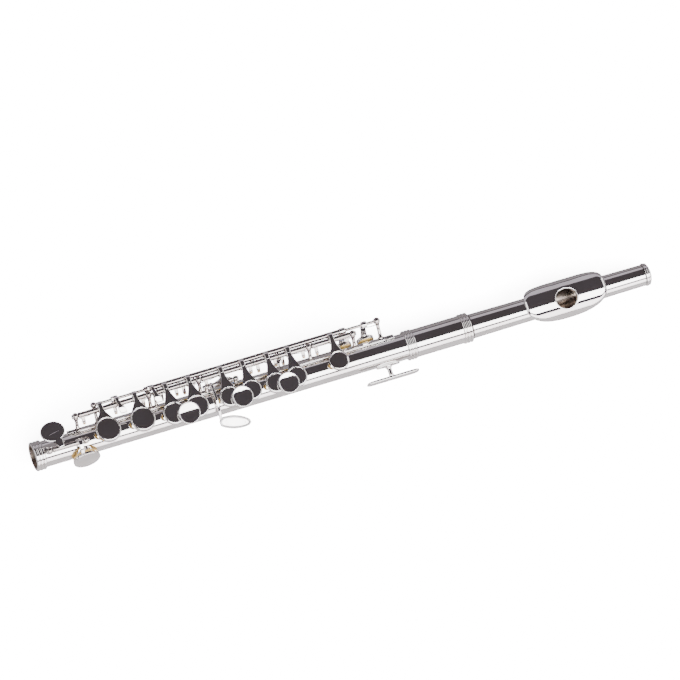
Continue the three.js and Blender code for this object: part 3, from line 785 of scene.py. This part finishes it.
def lever_key():
    """The G sharp lever: a long bright bar over the tube to a leaf for the little finger."""
    y, z = G_SHARP
    body = "g_sharp_key"
    lever_x = 92.9
    leaf_length = 15
    cup_x = middle_x("g_sharp_pad")
    hinge_tube(body, 92.0, 103.9, G_SHARP, 1.1)
    offsets = [(0, 1.0, 0.2), (0, -0.5, 1.3), (0, -4, 1.7), (0, -8.5, 1.3), (0, -13, -1.2),
               (0.2, -16.6, -4.6), (1.4, -18.2, -6.0)]
    lever = bar(lever_x, G_SHARP, offsets, 34, lambda share: 0.72 + 0.5 * max(0, share - 0.85), 0.6,
                squareness=3)
    leaf = [(leaf_length * (i / 20), half * 1.12) for i, half in enumerate(leaf_half_widths(20))]
    outline = [*leaf, *[(a, -b) for a, b in reversed(leaf[1:-1])]]
    tilt = Matrix.Translation((lever_x - 0.6, y - 17.4, z - 4.7)) @ Matrix.Rotation(radians(24), 4, "X")
    turn = tilt @ Matrix.Rotation(radians(-16), 4, "Z")
    touch = dished(outline, turn, 1.1, 0.05, 0.5, 1.1)
    offsets = [(0, 0.4, 0.3), (0, 2.4, -3), (0, 3.7, -6), (0, 3.6, -9)]
    arm = bar(cup_x, G_SHARP, offsets, 16, lambda share: 1.0 + 0.7 * share, 0.55)
    # The leaf's rolled rim takes the darker steel finish: painted shade that draws a dark edge round the
    # leaf
    rim = rolled_rim([(a, b * 0.9) for a, b in outline], turn @ Matrix.Translation((0, 0, 0.35)), 0.6)
    make("g_sharp_lever_painted_shade_rim", [rim], STEEL, body)
    bowl = cup(cup_x, BACK, G_SHARP_CUP_R, domed=True)
    silver(body, [lever, touch, arm, bowl], body)
    pad("g_sharp_pad", body, cup_x, BACK, G_SHARP_CUP_R)


def leaf_half_widths(count):
    """Half widths of a leaf from its blunt root to its round tip."""
    widths = []
    for i in range(count + 1):
        share = i / count
        body = 1.55 + 1.15 * sin(pi * min(share / 0.9, 1))
        tip = sqrt(max(0.0, 1 - max(0.0, (share - 0.8) / 0.2) ** 2))
        root = sqrt(max(0.0, 1 - max(0.0, (0.08 - share) / 0.08) ** 2))
        widths.append(max(body * tip * root, 0.02))
    return widths


def thumb_keys():
    """The two thumb keys on the underside share one rod."""
    z = THUMB[1]
    cup_x = middle_x("thumb_b_pad")
    offsets = [(0, 0.3, -0.6), (0, -2.0, -2.6), (0, -5.2, -3.3)]
    arm = bar(cup_x, THUMB, offsets, 14, lambda share: 1.3 + 1.2 * share ** 2, 0.6)
    plate_place = Matrix.Translation((cup_x - 7.4, 0.3, z - 3.4)) @ FLIPPED
    plate = dished(rounded_corners(4.8, 4.3, 3.2, 8), plate_place, 1.0, 0.18, 0.3)
    bowl = cup(cup_x, UNDER, THUMB_CUP_R, domed=True)
    hinge_tube("thumb_b_key", 146.6, 158.2, THUMB, place=THUMB_OPEN)
    silver("thumb_b_key", [arm, plate, bowl], "thumb_b_key", THUMB_OPEN)
    pad("thumb_b_pad", "thumb_b_key", cup_x, UNDER, THUMB_CUP_R, place=THUMB_OPEN)

    body = "thumb_b_flat_lever"
    stem = bar(132.7, THUMB, [(0, 0.3, -0.6), (0, -2.8, -3.2), (0, -6, -4.1)], 14, 1.25, 0.6)
    leaf_place = Matrix.Translation((131.7, 0.4, z - 4.1)) @ FLIPPED
    leaf = dished(rounded_corners(4.7, 4.2, 3.2, 8), leaf_place, 1.0, 0.18, 0.3)
    tail = bar(130.5, THUMB, [(0, 0.5, -0.3), (0, 2.6, 3), (0, 3, 6), (0, 3, 10)], 16, 1.0, 0.55)
    hinge_tube(body, 128.9, 146.3, THUMB)
    silver(body, [stem, leaf, tail], body)


def rounded_corners(a, b, radius, steps):
    """The outline of a rectangle with half sides a and b and rounded corners."""
    corners = [(-a, -b), (a, -b), (a, b), (-a, b)]
    return [tuple(p) for p in fillet(corners, radius, steps, loop=True)]


# ---- body -----------------------------------------------------------------------------------------

def hole_list():
    """Every tone hole as (X, angle, outer radius of its chimney, rim height)."""
    holes = []
    for spec in STACK_KEYS.values():
        holes += [(node, spec["phi"], spec["radius"], RIM) for node in spec["pads"]]
    holes += [
        ("d_trill_pad", BACK, TRILL_CUP_R, RIM), ("d_sharp_trill_pad", BACK, TRILL_CUP_R, RIM),
        ("g_sharp_pad", BACK, G_SHARP_CUP_R, RIM), ("thumb_b_pad", UNDER, THUMB_CUP_R, RIM),
        ("d_sharp_pad", D_SHARP_PHI, D_SHARP_CUP_R, D_SHARP_RIM),
    ]
    return [(middle_x(node), phi, radius - CHIMNEY_INSET, rim) for node, phi, radius, rim in holes]


def surface(radius):
    """The height of a tube's surface at a side."""
    return lambda side: sqrt(max(radius ** 2 - side ** 2, 1.0))


def body_tube():
    """The tube, its tone holes cut through, and a chimney round each hole."""
    shell = sleeve(*span_x("body_tube"), TUBE_R, BORE_R, (0, 0), 0.15, FINE)
    tube = silver("body_tube", [shell], "body")
    plugs = []
    chimneys = []
    for x, phi, radius, rim in hole_list():
        inner = radius - CHIMNEY_WALL + 0.03
        plugs.append(turned([(3.2, 0), (3.2, inner), (9, inner), (9, 0)], standing(x, phi), ROUND))
        chimneys.append(collar(standing(x, phi), (radius, radius), CHIMNEY_WALL, surface(TUBE_R),
                               surface(BORE_R + 0.05), lambda side, rim=rim: rim))
    cut(tube, plugs)
    line_inside(tube, nearer_than(BORE_R + 0.5))
    walls = make("tone_hole_chimneys", chimneys, SILVER, "body")
    line_inside(walls, nearer_than(TUBE_R - 0.3))


def bead_profile(x0, x1, base, top):
    """Half-round beads side by side."""
    pitch = (x1 - x0) / BEADS
    steps = 10
    points = []
    for i in range(BEADS):
        for k in range(steps + 1):
            share = k / steps
            points.append((x0 + (i + share) * pitch, base + (top - base) * sin(pi * share) ** 0.55))
    return points


def rings():
    """The foot ring, and the barrel with a beaded ring at each end."""
    x0, x1 = span_x("foot_ring")
    inner = TUBE_R + 0.05
    profile = [*bead_profile(x0, x1, TUBE_R + 0.3, FOOT_BEAD_R), (x1, inner), (x0, inner)]
    silver("foot_ring", [turned(profile, along_x(), FINE, loop=True)], "body")
    start, end = span_x("barrel")
    step = span_x("body_tube")[1] + 0.4
    outside = [
        *bead_profile(start, start + BARREL_RING, BARREL_R - 0.25, BEAD_R),
        (start + BARREL_RING + 0.05, BARREL_R), (end - BARREL_RING - 0.05, BARREL_R),
        *bead_profile(end - BARREL_RING, end, BARREL_R - 0.25, BEAD_R),
    ]
    inside = [(end, SOCKET_R), (step, SOCKET_R), (step, inner), (start, inner)]
    shell = turned([*outside, *inside], along_x(), FINE, loop=True)
    barrel = silver("barrel", [shell], "body")
    line_inside(barrel, nearer_than(SOCKET_R + 0.3))


def rib():
    """The strap that carries the posts, with rounded ends."""
    x0, x1 = span_x("key_rib")
    up = Vector((0, sin(radians(RIB_ANGLE)), cos(radians(RIB_ANGLE))))
    height = 0.44
    centre = up * (RIB_TOP - height)
    shares = [0, 0.003, 0.008, 0.015, 0.5, 0.985, 0.992, 0.997, 1]
    line = [Vector((x0 + (x1 - x0) * share, 0, 0)) + centre for share in shares]
    across = Vector((0, up.z, -up.y))

    def half(share):
        end = min(share, 1 - share) * (x1 - x0)
        return RIB_WIDTH / 2 * min(1.0, 0.35 + 0.65 * sqrt(min(1.0, end / 2.2)))

    line = curve(line, 60)
    silver("key_rib", [sweep(line, half, height, across, squareness=8)], "body")


def rib_point(side):
    """A post's foot on the rib, off its middle by side."""
    height = RIB_TOP - 0.05
    s, c = sin(radians(RIB_ANGLE)), cos(radians(RIB_ANGLE))
    return (height * s + side * c, height * c - side * s)


def tube_point(phi):
    """A post's foot on the tube at an angle."""
    angle = radians(phi)
    return ((TUBE_R - 0.05) * sin(angle), (TUBE_R - 0.05) * cos(angle))


def post(node, axis, ball, side=0, phi=None):
    """A turned post: a foot plate, a waisted neck with a bead, and a ball that the rod passes."""
    x = middle_x(node)
    base = rib_point(side) if phi is None else tube_point(phi)
    rise = Vector((axis[0] - base[0], axis[1] - base[1]))
    length = rise.length
    place = standing(0, degrees(atan2(rise.x, rise.y)))
    place.translation = Vector((x, *base))
    foot = min(1.5, ball + 0.1)
    neck = min(0.95, ball * 0.72)
    profile = [
        (0, 0), (0, foot), (0.35, foot), (0.55, neck + 0.25), (0.95, neck), (length * 0.45, neck * 0.82),
        (length - ball - 0.25, neck * 0.92), (length - ball + 0.02, neck + 0.22),
    ]
    start = acos(min(0.95, neck / ball))
    for k in range(10):
        turn = start - k / 10 * (start + pi / 2)
        profile.append((length - ball * sin(turn), max(ball * cos(turn), 0)))
    profile.append((length + ball, 0))
    shell = turned(profile, place, SMALL + 8)
    make(f"{node}_turned", [shell], SHADED_NICKEL, "body", [node], sharp=50)


def slotted_end(x, axis, facing):
    """A slotted screw end on a rod, facing along X."""
    place = along_x(axis)
    depth = 0.45 * facing
    disc = turned([(x - depth, 0), (x - depth, SCREW_R), (x, SCREW_R), (x, 0)], place, SMALL)
    gap = 0.18
    halves = []
    for half in (1, -1):
        outline = []
        start = asin(gap / SCREW_R)
        for k in range(11):
            turn = start + (pi - 2 * start) * k / 10
            outline.append((SCREW_R * cos(turn), half * SCREW_R * sin(turn)))
        rings = [[place @ Vector((a, b, x + shift)) for a, b in outline] for shift in (0, depth * 0.8)]
        halves.append(rings_to_shell(rings, caps=True))
    return [disc, *halves]


def steels():
    """The hinge rods, slotted at the ends that show."""
    for node, axis in (("lower_steel", STACK), ("upper_steel", STACK), ("d_sharp_steel", D_SHARP),
                       ("g_sharp_steel", G_SHARP), ("thumb_steel", THUMB)):
        x0, x1 = span_x(node)
        rod = solid_rod(x0, x1, STEEL_R, axis, 0.1)
        ends = []
        if node != "upper_steel":
            ends += slotted_end(x0, axis, -1)
        if node != "lower_steel":
            ends += slotted_end(x1, axis, 1)
        make(f"{node}_rod", [rod, *ends], STEEL, "body", [node])


def springs():
    """Needle springs: each leaves a post and presses on a hook beside its key's hinge tube."""
    starts = [
        ("lower_foot_post", STACK, 9), ("lower_middle_post", STACK, -9), ("lower_inner_post", STACK, 8),
        ("centre_post", STACK, -7), ("centre_post", STACK, 9), ("upper_middle_post", STACK, -9),
        ("upper_head_post", STACK, -9), ("trill_foot_post", TRILL, 9), ("trill_head_post", TRILL, -9),
        ("g_sharp_head_post", G_SHARP, -8), ("thumb_head_post", THUMB, -8),
        ("d_sharp_head_post", D_SHARP, -8),
    ]
    drop = 1.9

    def half(share):
        return 0.2 - 0.08 * share

    shells = []
    for node, axis, reach in starts:
        x = middle_x(node)
        length = hypot(*axis)
        y, z = (axis[0] * (1 - drop / length), axis[1] * (1 - drop / length))
        line = curve([(x, y, z), (x + reach * 0.5, y + 0.1, z - 0.1), (x + reach, y + 0.55, z + 0.25)], 10)
        shells.append(sweep(line, half, half, (0, 1, 0), sides=8, squareness=2))
    make("needle_springs", shells, BLUED, "body")


def finger_rest():
    """The crutch: an oval saddle on the tube, a stem and a long plate."""
    x = middle_x("finger_rest") - 0.4
    place = standing(x, -90)
    saddle = collar(place, (6.0, 2.6), 2.0, surface(TUBE_R), surface(TUBE_R - 0.3), surface(TUBE_R + 0.75),
                    flare=0.15)
    top = turned([(6.2, 0), (6.2, 1), (7.18, 1), (7.24, 0.85), (7.28, 0)],
                 place @ Matrix.Diagonal((4.2, 1.7, 1, 1)))
    profile = [(6.6, 0), (6.6, 2.0), (7.4, 1.9), (8.4, 1.15), (11.6, 1.1), (12.6, 1.7), (12.9, 2.2),
               (12.9, 0)]
    stem = turned(fillet(profile, 0.4), place, SMALL)
    half_length, half_width = 13.5, 3.0
    outline = rounded_corners(half_length, half_width, half_width * 0.98, 12)
    plate = dished(outline, standing(x + 0.4, -90, 13.25), 1.1, 0.05, 0.4, 0.7)
    silver("finger_rest", [saddle, top, stem, plate], "body")


# ---- head joint -----------------------------------------------------------------------------------

def head_radius(x):
    """The head's outer radius falls evenly towards the crown."""
    start, end = span_x("head_tube")
    return HEAD_R_START + (HEAD_R_END - HEAD_R_START) * (x - start) / (end - start)


def head_tube():
    """The tapered tube, with the embouchure hole cut through its top."""
    start, end = span_x("head_tube")
    steps = 12
    xs = [start + (end - start) * k / steps for k in range(steps + 1)]
    outside = [(x, head_radius(x)) for x in xs]
    inside = [(x, head_radius(x) - HEAD_WALL) for x in reversed(xs)]
    shell = turned([*outside, *inside], along_x(), FINE, loop=True)
    tube = silver("head_tube", [shell], "head")
    hole = turned([(2, 0), (2, 1), (9, 1), (9, 0)], standing(EMBOUCHURE_X, ROLL)
                  @ Matrix.Diagonal((HOLE_LONG, HOLE_SHORT, 1, 1)))
    cut(tube, [hole])
    line_inside(tube, lambda at: hypot(at.y, at.z) < head_radius(at.x) - HEAD_WALL / 2)


def lip_height(side):
    """The height of the lip plate's top at a side."""
    return LIP_TOP - LIP_ARC_R + sqrt(LIP_ARC_R ** 2 - side ** 2)


def riser():
    """The wall between the head tube and the lip plate, dark inside."""
    radius = head_radius(EMBOUCHURE_X)
    place = standing(EMBOUCHURE_X, ROLL)
    wall = collar(place, (HOLE_LONG + RISER_WALL, HOLE_SHORT + RISER_WALL), RISER_WALL, surface(radius),
                  surface(radius - HEAD_WALL), lambda side: lip_height(side) - LIP_THICKNESS + 0.1)
    obj = silver("riser", [wall], "head")
    to_local = place.inverted()

    def inner(at):
        local = to_local @ at
        return hypot(local.x / HOLE_LONG, local.y / HOLE_SHORT) < 1.04

    line_inside(obj, inner)


def lip_outline(turn, middle, half_length):
    """The lip plate's edge: squarer at its back than at its front."""
    exponent = 2 / (LIP_BACK_SQUARENESS if sin(turn) > 0 else LIP_FRONT_SQUARENESS)
    return Vector((middle + half_length * power(cos(turn), exponent),
                   LIP_HALF_WIDTH * power(sin(turn), exponent)))


def lip_plate():
    """A curved plate round the embouchure hole, its edges rolled down and its hole's rim round."""
    low, high = span_x("lip_plate")
    place = standing(0, ROLL)
    steps = 30
    roll_width, roll_depth = 2.2, 0.95
    rim_width, rim_depth = 0.6, 0.35
    top, under = [], []
    for turn in around(160):
        edge = lip_outline(turn, (low + high) / 2, (high - low) / 2)
        toward = edge - Vector((EMBOUCHURE_X, 0))
        bearing = atan2(toward.y / HOLE_SHORT, toward.x / HOLE_LONG)
        hole = Vector((EMBOUCHURE_X + HOLE_LONG * cos(bearing), HOLE_SHORT * sin(bearing)))
        length = (edge - hole).length
        column, below = [], []
        for k in range(steps + 1):
            share = 0.5 - 0.5 * cos(pi * k / steps)
            at = hole + (edge - hole) * share
            drop = roll_depth * max(0.0, 1 - (1 - share) * length / roll_width) ** 2.2
            dip = rim_depth * max(0.0, 1 - share * length / rim_width) ** 2
            height = lip_height(at.y)
            column.append(place @ Vector((at.x, at.y, height - drop - dip)))
            thin = LIP_THICKNESS - 0.25 * max(0.0, 1 - (1 - share) * length / roll_width)
            below.append(place @ Vector((at.x, at.y, height - drop - thin)))
        top.append(column)
        under.append(below)
    rings = [column + below[::-1] for column, below in zip(top, under)]
    silver("lip_plate", [rings_to_shell(rings, loop=True)], "head", sharp=55)


def tenon_sleeve():
    """The sleeve that slides in the barrel, necked where the head tube sits in it."""
    x0, x1 = span_x("tenon_sleeve")
    shoulder = span_x("head_tube")[0] - 0.8
    profile = fillet([
        (x0, 6.14), (shoulder, 6.14), (shoulder, 5.36), (x1, 5.3), (x1, 4.9), (shoulder - 1.1, 4.9),
        (shoulder - 2.1, 5.5), (x0, 5.5),
    ], 0.12, loop=True)
    shell = turned(profile, along_x(), FINE, loop=True)
    line_inside(silver("tenon_sleeve", [shell], "tenon"), nearer_than(5.55))


def crown():
    """The crown: a collar with a groove and a shallow dome, and the nut inside that turns on the rod."""
    end = span_x("crown")[1]
    face = span_x("head_tube")[1] + 0.3
    profile = [
        (end - 1, 0), (end - 1, 1.35), (face - 5.2, 1.35), (face - 5.2, 4.4), (face, 4.4), (face, 5.2),
        (face + 0.25, 5.65), (face + 0.7, 5.8), (face + 1.2, 5.72), (face + 1.45, 5.45), (face + 1.6, 5.35),
        (face + 1.8, 5.5), (face + 2.1, 5.5), (face + 2.35, 5.2), (end - 0.75, 4.2), (end - 0.35, 3.0),
        (end - 0.1, 1.6), (end, 0),
    ]
    shell = turned(fillet(profile, 0.18, steps=3), along_x(), FINE)
    silver("crown", [shell], "crown", sharp=60)


def stopper():
    """The stopper: a plate on a threaded rod, and the cork behind it."""
    x0, x1 = span_x("stopper_rod")
    rod = [(x0, 0), (x0, 4.5), (x0 + 0.9, 4.5), (x0 + 0.9, 1.15)]
    turns = int((x1 - x0 - 12) / THREAD_PITCH)
    for k in range(turns):
        at = x0 + 10.5 + k * THREAD_PITCH
        rod += [(at, 1.15), (at + THREAD_PITCH / 2, 0.95)]
    rod += [(x1, 1.1), (x1, 0)]
    silver("stopper_rod", [turned(rod, along_x(), SMALL)], "stopper")
    c0, c1 = span_x("stopper_cork")
    profile = fillet([(c0, 1.4), (c0, CORK_R), (c1, CORK_R), (c1, 1.4)], 0.3, loop=True)
    plug = turned(profile, along_x(), ROUND, loop=True)
    make("stopper_cork_plug", [plug], CORK, "stopper", ["stopper_cork"])


# ---- stage ----------------------------------------------------------------------------------------

def flat(name, low, high, height, material):
    """A level rectangle of the stage, between two corners in metres."""
    mesh = bpy.data.meshes.new(name)
    corners = [(*low, height), (high[0], low[1], height), (*high, height), (low[0], high[1], height)]
    mesh.from_pydata(corners, [], [(0, 1, 2, 3)])
    mesh.materials.append(material)
    obj = placed(name, mesh)
    obj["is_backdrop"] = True
    return obj


def camera():
    """A long lens, turned and tilted as the object is seen: the tube rises to the right."""
    yaw, tilt, roll = (radians(a) for a in (12.73, 13.02, 19.52))
    back = Vector((-sin(yaw), -cos(yaw) * sin(tilt), cos(yaw) * cos(tilt)))
    up = (Vector((0, 1, 0)) - back * back.y).normalized()
    right = up.cross(back)
    turned_right = right * cos(roll) - up * sin(roll)
    turned_up = right * sin(roll) + up * cos(roll)
    data = bpy.data.cameras.new("camera")
    data.sensor_width = 36
    data.lens = 655.4
    data.clip_end = 50
    place = Matrix((turned_right, turned_up, back)).transposed().to_4x4()
    away = Vector((MIDDLE_X, 0, 0)) + back * CAMERA_DISTANCE
    place.translation = away - turned_right * 1.66 * MM + turned_up * 11.93 * MM
    bpy.context.scene.camera = placed("camera", data, place)


def floor():
    """A pale floor: nearly white where it is looked at, and mid grey in the metal's reflections."""
    material, tree, shader = new_material("paper", 0.0)
    tree.nodes.remove(shader)
    paper = tree.nodes.new("ShaderNodeBsdfDiffuse")
    glow = tree.nodes.new("ShaderNodeEmission")
    both = tree.nodes.new("ShaderNodeAddShader")
    link(tree, paper.outputs["BSDF"], both.inputs[0])
    link(tree, glow.outputs["Emission"], both.inputs[1])
    link(tree, both.outputs["Shader"], tree.nodes["Material Output"].inputs["Surface"])
    seen = tree.nodes.new("ShaderNodeLightPath").outputs["Is Camera Ray"]
    link(tree, colours(tree, seen, (0.46, 0.445, 0.455), (FLOOR_GLOW,) * 3), paper.inputs["Color"])
    link(tree, spread(tree, seen, 0, FLOOR_GLOW, 0, 1), glow.inputs["Strength"])
    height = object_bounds()[0].z - 0.0002
    flat("floor", (-FLOOR_HALF, -FLOOR_HALF), (FLOOR_HALF, FLOOR_HALF), height, material)


def box_light(name, length, width, radiance, axes, x, colour=(1, 1, 1)):
    """An area light at the light distance along its own Z axis, beside the object's X."""
    data = bpy.data.lights.new(name, "AREA")
    data.shape = "RECTANGLE"
    data.size = length
    data.size_y = width
    data.energy = radiance * pi * length * width
    data.color = colour
    place = Matrix(axes).transposed().to_4x4()
    place.translation = axes[2] * LIGHT_DISTANCE + Vector((x, 0, 0))
    placed(name, data, place).visible_camera = False


def softbox(name, low, high, length, radiance, colour=(1, 1, 1)):
    """An area light that spans low to high degrees from +Z towards -Y, seen from the object."""
    middle = radians((low + high) / 2)
    width = 2 * LIGHT_DISTANCE * tan(radians(high - low) / 2)
    away = Vector((0, -sin(middle), cos(middle)))
    axes = (Vector((1, 0, 0)), Vector((0, away.z, -away.y)), away)
    box_light(name, length, width, radiance, axes, MIDDLE_X + 0.3, colour)


def end_box(name, facing):
    """An area light beyond one end of the object, for the rims, beads and balls to catch."""
    lean = radians(64) * facing
    away = Vector((sin(lean), 0.1, cos(lean))).normalized()
    across = Vector((0, 1, 0)).cross(away).normalized()
    box_light(name, 0.8, 1.3, 2.2, (across, away.cross(across), away), MIDDLE_X - 0.02)


def lights():
    softbox("high_box", 16, 47, 3, 9.0)
    softbox("low_box", 60, 88, 3, 5.0, colour=(1, 0.955, 0.97))
    softbox("far_card", -80, -53, 6, 0.62, colour=(0.96, 0.9, 1))
    end_box("foot_end_box", -1)
    end_box("crown_end_box", 1)


def dusk_card():
    """A dim card just above the floor, beyond the rods: only the metal's reflections see it."""
    material, _, shader = new_material("dim_card", 0.0)
    shader.inputs["Base Color"].default_value = (0, 0, 0, 1)
    shader.inputs["Emission Color"].default_value = (0.95, 0.88, 0.93, 1)
    shader.inputs["Emission Strength"].default_value = 0.3
    obj = flat("dim_card", (-2, 0.012), (2, 3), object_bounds()[0].z - 0.0001, material)
    obj.visible_camera = False
    obj.visible_diffuse = False
    obj.visible_shadow = False


def world():
    """A dim room for the metal to reflect, pale where the camera looks past the floor."""
    scene_world = bpy.data.worlds.new("room")
    scene_world.use_nodes = True
    tree = scene_world.node_tree
    background = tree.nodes["Background"]
    seen = tree.nodes.new("ShaderNodeLightPath").outputs["Is Camera Ray"]
    link(tree, colours(tree, seen, (0.075, 0.065, 0.072), (18, 18, 18)), background.inputs["Color"])
    bpy.context.scene.world = scene_world


def build():
    for name, spec in STACK_KEYS.items():
        stack_key(name, **spec)
    trill_keys()
    foot_key()
    lever_key()
    thumb_keys()
    body_tube()
    rings()
    rib()
    for node, spec in POSTS.items():
        post(node, *spec)
    steels()
    springs()
    finger_rest()
    head_tube()
    riser()
    lip_plate()
    tenon_sleeve()
    crown()
    stopper()


build()
floor()
dusk_card()
lights()
world()
camera()
